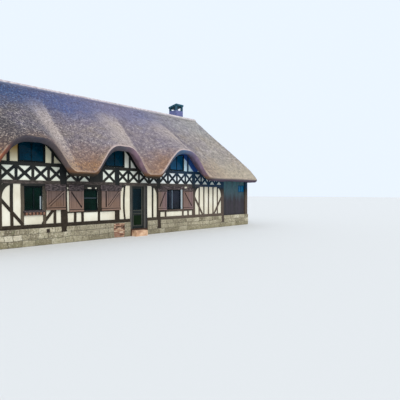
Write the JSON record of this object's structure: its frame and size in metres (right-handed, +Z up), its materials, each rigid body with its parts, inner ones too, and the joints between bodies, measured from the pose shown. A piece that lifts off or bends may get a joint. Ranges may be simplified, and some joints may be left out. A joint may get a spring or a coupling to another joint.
{
  "type": "thatched half-timbered cottage",
  "caption": "Long thatched cottage, half-timbered on a stone plinth, with eyebrow dormers, hinged glazed door, folded shutters and a chimney behind the ridge.",
  "frame": {"origin": "middle of the plan, at the lowest ground that the plinth meets", "axes": "+X along the long front from left to right as one faces it, +Y from the front to the back, +Z up"},
  "size_m": [20, 7.8, 8.0203],
  "materials": {
    "thatch": "weathered reed",
    "ridge": "rough lime and earth",
    "timber": "dark stained oak",
    "plaster": "limewashed",
    "stone": "rough rubble",
    "tile": "matte",
    "brick": "matte",
    "shutter": "worn stain",
    "door": "painted",
    "sash": "painted",
    "boards": "dark stain",
    "glass": "clear",
    "handle": "satin"
  },
  "bodies": {
    "house": {"thatch_front": "thatch", "thatch_back": "thatch", "thatch_left_hip": "thatch", "thatch_right_hip": "thatch", "ridge_cap": "ridge", "front_frame_left": "timber", "front_frame_right": "timber", "front_band_frame": "timber", "front_wall_left": "plaster", "front_wall_over_door": "plaster", "front_wall_right": "plaster", "right_corner_post": "timber", "front_boarded_bay": "boards", "back_frame": "timber", "back_wall": "plaster", "left_end_frame": "timber", "left_end_wall": "plaster", "right_end_wall": "boards", "plinth_front_left": "stone", "plinth_front_right": "stone", "threshold": "stone", "plinth_back": "stone", "plinth_left": "stone", "plinth_right": "stone", "ground_floor": "tile", "upper_floor": "timber", "door_step": "tile", "chimney_stack": "brick", "chimney_cap": "brick", "window_1": "sash", "window_2": "sash", "window_3": "sash", "boarded_bay_window": "sash", "back_window_1": "sash", "back_window_2": "sash", "back_window_3": "sash", "dormer_window_1": "sash", "dormer_window_2": "sash", "dormer_window_3": "sash", "shutter_1": "shutter", "shutter_2": "shutter", "shutter_3": "shutter", "shutter_4": "shutter", "shutter_5": "shutter", "door_frame": "door"},
    "front_door": {"door_leaf": "door", "door_glass": "glass", "door_handle": "handle"}
  },
  "joints": [
    {"name": "front_door_hinge", "type": "hinge", "parent": "house", "child": "front_door", "pos_m": [-0.358, -2.983, 1.35], "axis": [0, 0, 1], "range_deg": [0, 95]}
  ]
}
